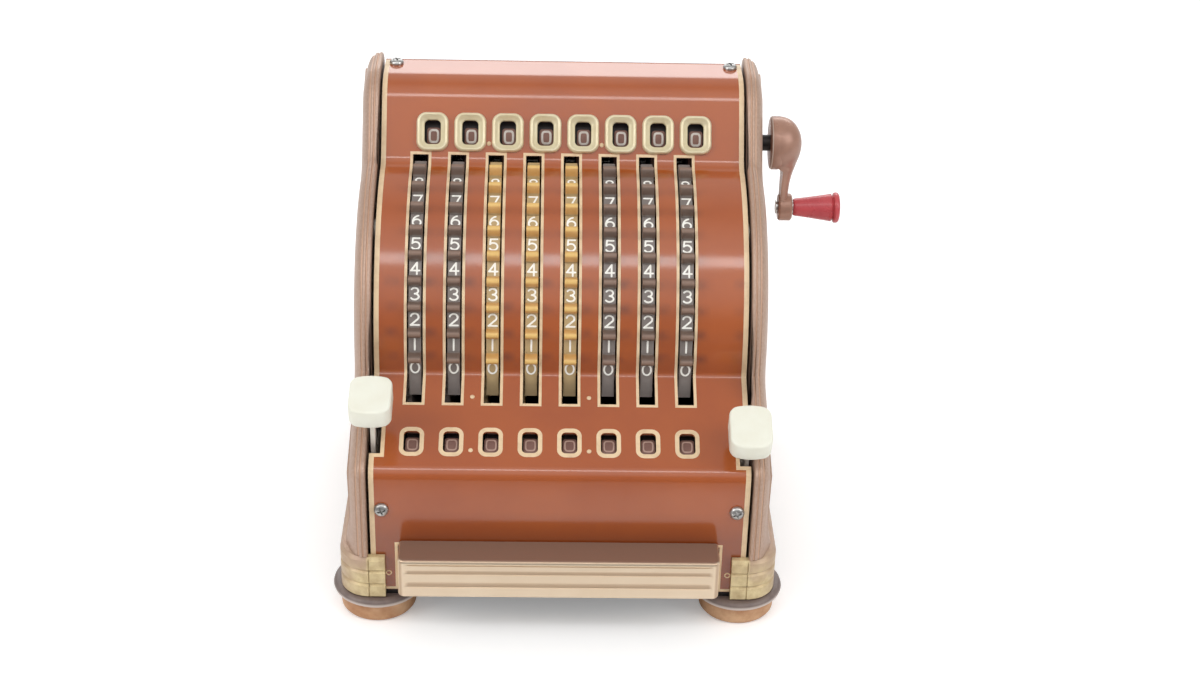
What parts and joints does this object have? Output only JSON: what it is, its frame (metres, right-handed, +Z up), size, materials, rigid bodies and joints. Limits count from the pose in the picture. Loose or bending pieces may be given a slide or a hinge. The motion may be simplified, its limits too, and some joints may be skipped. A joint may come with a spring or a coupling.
{
  "type": "adding machine",
  "caption": "Desk adding machine with finger-pulled number wheels in slots, two rows of register windows, a zeroing crank, side keys and a front press bar.",
  "frame": {"origin": "under the middle of the whole box, at table height", "axes": "+X to the operator's right towards the crank, +Y to the back, +Z up"},
  "size_m": [0.2312, 0.2064, 0.205],
  "materials": {
    "lacquer": "glossy red-brown lacquer",
    "hammered": "hammered metallic brown enamel",
    "gold": "gold enamel over ribs",
    "champagne": "satin champagne",
    "bezel": "satin ivory gold",
    "steel": "bright",
    "black_steel": "blackened",
    "copper_enamel": "satin copper brown enamel",
    "red_plastic": "glossy",
    "cream_plastic": "glossy",
    "amber_plastic": "satin moulded",
    "brown_plastic": "satin moulded",
    "number_black": "matt",
    "cup": "dark brown enamel",
    "pad": "amber rubber"
  },
  "bodies": {
    "body": {"base_plate": "black_steel", "left_side_panel": "hammered", "right_side_panel": "hammered", "front_cover": "lacquer", "rear_cover": "lacquer", "left_frame_plate": "steel", "right_frame_plate": "steel", "tie_rods": "steel", "setting_shaft": "steel", "idler_shaft": "steel", "check_shaft": "steel", "key_pivots": "steel", "bar_guides": "steel", "bar_springs": "steel", "window_bezels": "bezel", "cover_screws": "steel", "foot_cups": "cup", "foot_pads": "pad", "plinth_mouldings": "gold"},
    "setting_1": {"setting_wheel_1": "brown_plastic"},
    "result_1": {"result_wheel_1": "number_black"},
    "idler_1": {"idler_gear_1": "steel"},
    "check_1": {"check_wheel_1": "number_black"},
    "setting_2": {"setting_wheel_2": "brown_plastic"},
    "result_2": {"result_wheel_2": "number_black"},
    "idler_2": {"idler_gear_2": "steel"},
    "check_2": {"check_wheel_2": "number_black"},
    "setting_3": {"setting_wheel_3": "amber_plastic"},
    "result_3": {"result_wheel_3": "number_black"},
    "idler_3": {"idler_gear_3": "steel"},
    "check_3": {"check_wheel_3": "number_black"},
    "setting_4": {"setting_wheel_4": "amber_plastic"},
    "result_4": {"result_wheel_4": "number_black"},
    "idler_4": {"idler_gear_4": "steel"},
    "check_4": {"check_wheel_4": "number_black"},
    "setting_5": {"setting_wheel_5": "amber_plastic"},
    "result_5": {"result_wheel_5": "number_black"},
    "idler_5": {"idler_gear_5": "steel"},
    "check_5": {"check_wheel_5": "number_black"},
    "setting_6": {"setting_wheel_6": "brown_plastic"},
    "result_6": {"result_wheel_6": "number_black"},
    "idler_6": {"idler_gear_6": "steel"},
    "check_6": {"check_wheel_6": "number_black"},
    "setting_7": {"setting_wheel_7": "brown_plastic"},
    "result_7": {"result_wheel_7": "number_black"},
    "idler_7": {"idler_gear_7": "steel"},
    "check_7": {"check_wheel_7": "number_black"},
    "setting_8": {"setting_wheel_8": "brown_plastic"},
    "result_8": {"result_wheel_8": "number_black"},
    "idler_8": {"idler_gear_8": "steel"},
    "check_8": {"check_wheel_8": "number_black"},
    "crank": {"crank_shaft": "black_steel", "crank_arm": "copper_enamel", "knob_stud": "steel"},
    "knob": {"crank_knob": "red_plastic"},
    "left_key": {"left_key_lever": "steel", "left_key_cap": "cream_plastic"},
    "right_key": {"right_key_lever": "steel", "right_key_cap": "cream_plastic"},
    "bar": {"front_bar": "champagne"}
  },
  "joints": [
    {"name": "setting_pull_1", "type": "hinge", "parent": "body", "child": "setting_1", "pos_m": [-0.0154, 0.02979, 0.099], "axis": [1, 0, 0], "range_deg": [0, 81], "stiffness_Nm_per_rad": 0.04, "springref_deg": -34.38},
    {"name": "result_turn_1", "type": "hinge", "parent": "body", "child": "result_1", "pos_m": [-0.0154, 0.05235, 0.17053], "axis": [1, 0, 0], "range_deg": [-326, 2]},
    {"name": "idler_turn_1", "type": "hinge", "parent": "body", "child": "idler_1", "pos_m": [-0.0154, -0.03212, 0.04677], "axis": [1, 0, 0], "range_deg": [-233, 2]},
    {"name": "check_turn_1", "type": "hinge", "parent": "body", "child": "check_1", "pos_m": [-0.0154, -0.06345, 0.06451], "axis": [1, 0, 0], "range_deg": [-2, 326]},
    {"name": "setting_pull_2", "type": "hinge", "parent": "body", "child": "setting_2", "pos_m": [-0.0154, 0.02979, 0.099], "axis": [1, 0, 0], "range_deg": [0, 81], "stiffness_Nm_per_rad": 0.04, "springref_deg": -34.38},
    {"name": "result_turn_2", "type": "hinge", "parent": "body", "child": "result_2", "pos_m": [-0.0154, 0.05235, 0.17053], "axis": [1, 0, 0], "range_deg": [-326, 2]},
    {"name": "idler_turn_2", "type": "hinge", "parent": "body", "child": "idler_2", "pos_m": [-0.0154, -0.03212, 0.04677], "axis": [1, 0, 0], "range_deg": [-233, 2]},
    {"name": "check_turn_2", "type": "hinge", "parent": "body", "child": "check_2", "pos_m": [-0.0154, -0.06345, 0.06451], "axis": [1, 0, 0], "range_deg": [-2, 326]},
    {"name": "setting_pull_3", "type": "hinge", "parent": "body", "child": "setting_3", "pos_m": [-0.0154, 0.02979, 0.099], "axis": [1, 0, 0], "range_deg": [0, 81], "stiffness_Nm_per_rad": 0.04, "springref_deg": -34.38},
    {"name": "result_turn_3", "type": "hinge", "parent": "body", "child": "result_3", "pos_m": [-0.0154, 0.05235, 0.17053], "axis": [1, 0, 0], "range_deg": [-326, 2]},
    {"name": "idler_turn_3", "type": "hinge", "parent": "body", "child": "idler_3", "pos_m": [-0.0154, -0.03212, 0.04677], "axis": [1, 0, 0], "range_deg": [-233, 2]},
    {"name": "check_turn_3", "type": "hinge", "parent": "body", "child": "check_3", "pos_m": [-0.0154, -0.06345, 0.06451], "axis": [1, 0, 0], "range_deg": [-2, 326]},
    {"name": "setting_pull_4", "type": "hinge", "parent": "body", "child": "setting_4", "pos_m": [-0.0154, 0.02979, 0.099], "axis": [1, 0, 0], "range_deg": [0, 81], "stiffness_Nm_per_rad": 0.04, "springref_deg": -34.38},
    {"name": "result_turn_4", "type": "hinge", "parent": "body", "child": "result_4", "pos_m": [-0.0154, 0.05235, 0.17053], "axis": [1, 0, 0], "range_deg": [-326, 2]},
    {"name": "idler_turn_4", "type": "hinge", "parent": "body", "child": "idler_4", "pos_m": [-0.0154, -0.03212, 0.04677], "axis": [1, 0, 0], "range_deg": [-233, 2]},
    {"name": "check_turn_4", "type": "hinge", "parent": "body", "child": "check_4", "pos_m": [-0.0154, -0.06345, 0.06451], "axis": [1, 0, 0], "range_deg": [-2, 326]},
    {"name": "setting_pull_5", "type": "hinge", "parent": "body", "child": "setting_5", "pos_m": [-0.0154, 0.02979, 0.099], "axis": [1, 0, 0], "range_deg": [0, 81], "stiffness_Nm_per_rad": 0.04, "springref_deg": -34.38},
    {"name": "result_turn_5", "type": "hinge", "parent": "body", "child": "result_5", "pos_m": [-0.0154, 0.05235, 0.17053], "axis": [1, 0, 0], "range_deg": [-326, 2]},
    {"name": "idler_turn_5", "type": "hinge", "parent": "body", "child": "idler_5", "pos_m": [-0.0154, -0.03212, 0.04677], "axis": [1, 0, 0], "range_deg": [-233, 2]},
    {"name": "check_turn_5", "type": "hinge", "parent": "body", "child": "check_5", "pos_m": [-0.0154, -0.06345, 0.06451], "axis": [1, 0, 0], "range_deg": [-2, 326]},
    {"name": "setting_pull_6", "type": "hinge", "parent": "body", "child": "setting_6", "pos_m": [-0.0154, 0.02979, 0.099], "axis": [1, 0, 0], "range_deg": [0, 81], "stiffness_Nm_per_rad": 0.04, "springref_deg": -34.38},
    {"name": "result_turn_6", "type": "hinge", "parent": "body", "child": "result_6", "pos_m": [-0.0154, 0.05235, 0.17053], "axis": [1, 0, 0], "range_deg": [-326, 2]},
    {"name": "idler_turn_6", "type": "hinge", "parent": "body", "child": "idler_6", "pos_m": [-0.0154, -0.03212, 0.04677], "axis": [1, 0, 0], "range_deg": [-233, 2]},
    {"name": "check_turn_6", "type": "hinge", "parent": "body", "child": "check_6", "pos_m": [-0.0154, -0.06345, 0.06451], "axis": [1, 0, 0], "range_deg": [-2, 326]},
    {"name": "setting_pull_7", "type": "hinge", "parent": "body", "child": "setting_7", "pos_m": [-0.0154, 0.02979, 0.099], "axis": [1, 0, 0], "range_deg": [0, 81], "stiffness_Nm_per_rad": 0.04, "springref_deg": -34.38},
    {"name": "result_turn_7", "type": "hinge", "parent": "body", "child": "result_7", "pos_m": [-0.0154, 0.05235, 0.17053], "axis": [1, 0, 0], "range_deg": [-326, 2]},
    {"name": "idler_turn_7", "type": "hinge", "parent": "body", "child": "idler_7", "pos_m": [-0.0154, -0.03212, 0.04677], "axis": [1, 0, 0], "range_deg": [-233, 2]},
    {"name": "check_turn_7", "type": "hinge", "parent": "body", "child": "check_7", "pos_m": [-0.0154, -0.06345, 0.06451], "axis": [1, 0, 0], "range_deg": [-2, 326]},
    {"name": "setting_pull_8", "type": "hinge", "parent": "body", "child": "setting_8", "pos_m": [-0.0154, 0.02979, 0.099], "axis": [1, 0, 0], "range_deg": [0, 81], "stiffness_Nm_per_rad": 0.04, "springref_deg": -34.38},
    {"name": "result_turn_8", "type": "hinge", "parent": "body", "child": "result_8", "pos_m": [-0.0154, 0.05235, 0.17053], "axis": [1, 0, 0], "range_deg": [-326, 2]},
    {"name": "idler_turn_8", "type": "hinge", "parent": "body", "child": "idler_8", "pos_m": [-0.0154, -0.03212, 0.04677], "axis": [1, 0, 0], "range_deg": [-233, 2]},
    {"name": "check_turn_8", "type": "hinge", "parent": "body", "child": "check_8", "pos_m": [-0.0154, -0.06345, 0.06451], "axis": [1, 0, 0], "range_deg": [-2, 326]},
    {"name": "crank_turn", "type": "hinge", "parent": "body", "child": "crank", "pos_m": [0.0808, 0.05235, 0.17053], "axis": [1, 0, 0], "continuous": true},
    {"name": "knob_spin", "type": "hinge", "parent": "crank", "child": "knob", "pos_m": [0.0944, 0.05235, 0.13753], "axis": [1, 0, 0], "continuous": true},
    {"name": "left_key_press", "type": "hinge", "parent": "body", "child": "left_key", "pos_m": [-0.096, -0.0092, 0.06], "axis": [1, 0, 0], "range_deg": [0, 7.8]},
    {"name": "right_key_press", "type": "hinge", "parent": "body", "child": "right_key", "pos_m": [0.0652, -0.0092, 0.06], "axis": [1, 0, 0], "range_deg": [-7.8, 0]},
    {"name": "bar_press", "type": "slide", "parent": "body", "child": "bar", "axis": [0, 0, -1], "range_m": [0, 0.006], "stiffness_N_per_m": 300, "springref_m": -0.012, "deforming": ["bar_springs"]}
  ],
  "couplings": [
    {"joint": "result_turn_1", "follows": "setting_pull_1", "ratio": -4},
    {"joint": "idler_turn_1", "follows": "setting_pull_1", "ratio": -2.8571},
    {"joint": "check_turn_1", "follows": "setting_pull_1", "ratio": 4},
    {"joint": "result_turn_2", "follows": "setting_pull_2", "ratio": -4},
    {"joint": "idler_turn_2", "follows": "setting_pull_2", "ratio": -2.8571},
    {"joint": "check_turn_2", "follows": "setting_pull_2", "ratio": 4},
    {"joint": "result_turn_3", "follows": "setting_pull_3", "ratio": -4},
    {"joint": "idler_turn_3", "follows": "setting_pull_3", "ratio": -2.8571},
    {"joint": "check_turn_3", "follows": "setting_pull_3", "ratio": 4},
    {"joint": "result_turn_4", "follows": "setting_pull_4", "ratio": -4},
    {"joint": "idler_turn_4", "follows": "setting_pull_4", "ratio": -2.8571},
    {"joint": "check_turn_4", "follows": "setting_pull_4", "ratio": 4},
    {"joint": "result_turn_5", "follows": "setting_pull_5", "ratio": -4},
    {"joint": "idler_turn_5", "follows": "setting_pull_5", "ratio": -2.8571},
    {"joint": "check_turn_5", "follows": "setting_pull_5", "ratio": 4},
    {"joint": "result_turn_6", "follows": "setting_pull_6", "ratio": -4},
    {"joint": "idler_turn_6", "follows": "setting_pull_6", "ratio": -2.8571},
    {"joint": "check_turn_6", "follows": "setting_pull_6", "ratio": 4},
    {"joint": "result_turn_7", "follows": "setting_pull_7", "ratio": -4},
    {"joint": "idler_turn_7", "follows": "setting_pull_7", "ratio": -2.8571},
    {"joint": "check_turn_7", "follows": "setting_pull_7", "ratio": 4},
    {"joint": "result_turn_8", "follows": "setting_pull_8", "ratio": -4},
    {"joint": "idler_turn_8", "follows": "setting_pull_8", "ratio": -2.8571},
    {"joint": "check_turn_8", "follows": "setting_pull_8", "ratio": 4}
  ]
}
